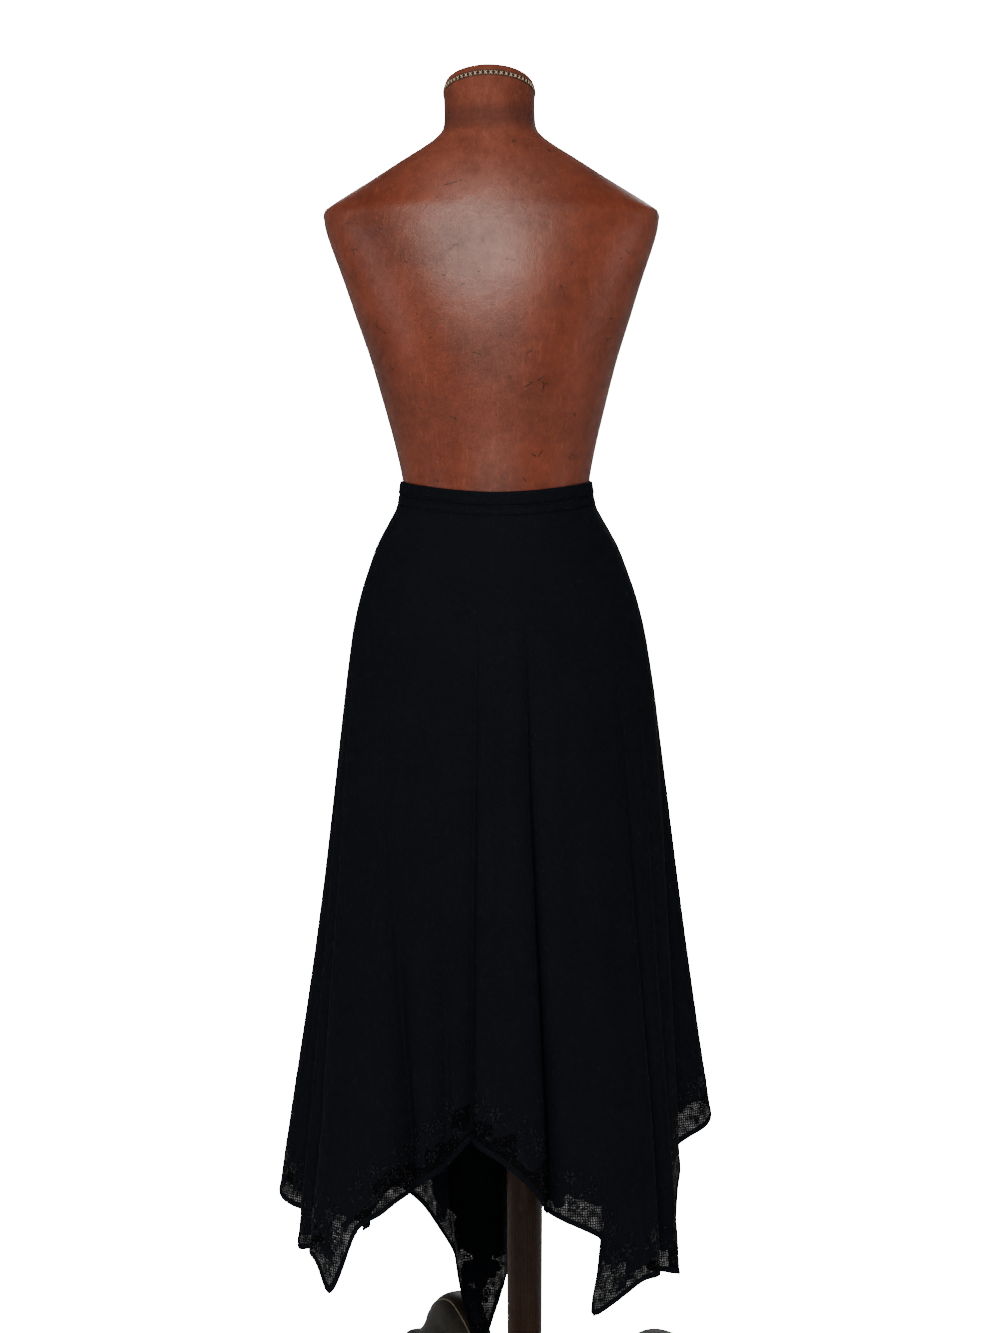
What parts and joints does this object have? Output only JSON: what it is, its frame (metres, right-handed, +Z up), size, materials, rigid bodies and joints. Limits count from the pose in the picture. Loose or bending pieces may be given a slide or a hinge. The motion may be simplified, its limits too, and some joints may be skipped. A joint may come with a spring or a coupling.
{
  "type": "handkerchief skirt on dress form",
  "caption": "Long black flared skirt with a pointed handkerchief hem and embroidered net border, worn by a limbless leather dress form on a wooden post and tripod foot.",
  "frame": {"origin": "on the floor, at the middle of the bounding box's base", "axes": "+Z up; the back of the skirt and form, which the picture shows, faces -Y and the front faces +Y; +X is the wearer's right"},
  "size_m": [0.5942, 0.5162, 1.6372],
  "materials": {
    "form_torso": "aged reddish-brown leather with a soft sheen",
    "form_neck_cap": "aged dark brown leather",
    "stand_post": "turned and waxed dark wood",
    "stand_collar": "dull pale metal",
    "stand_hub": "dark brown, semi-gloss",
    "stand_leg_1": "dark brown, semi-gloss",
    "stand_leg_2": "dark brown, semi-gloss",
    "stand_leg_3": "dark brown, semi-gloss",
    "stand_foot_1": "dark brown, semi-gloss",
    "stand_foot_2": "dark brown, semi-gloss",
    "stand_foot_3": "dark brown, semi-gloss",
    "skirt_back": "matt black crepe",
    "skirt_front": "matt black crepe",
    "hem_border_back": "black embroidered net",
    "hem_border_front": "black embroidered net",
    "waistband_upper": "matt black crepe, top-stitched",
    "waistband_lower": "matt black crepe, top-stitched"
  },
  "bodies": {
    "root": {"form_torso": "form_torso", "form_neck_cap": "form_neck_cap", "stand_post": "stand_post", "stand_collar": "stand_collar", "stand_hub": "stand_hub", "stand_leg_1": "stand_leg_1", "stand_leg_2": "stand_leg_2", "stand_leg_3": "stand_leg_3", "stand_foot_1": "stand_foot_1", "stand_foot_2": "stand_foot_2", "stand_foot_3": "stand_foot_3", "skirt_back": "skirt_back", "skirt_front": "skirt_front", "hem_border_back": "hem_border_back", "hem_border_front": "hem_border_front", "waistband_upper": "waistband_upper", "waistband_lower": "waistband_lower"}
  },
  "joints": []
}
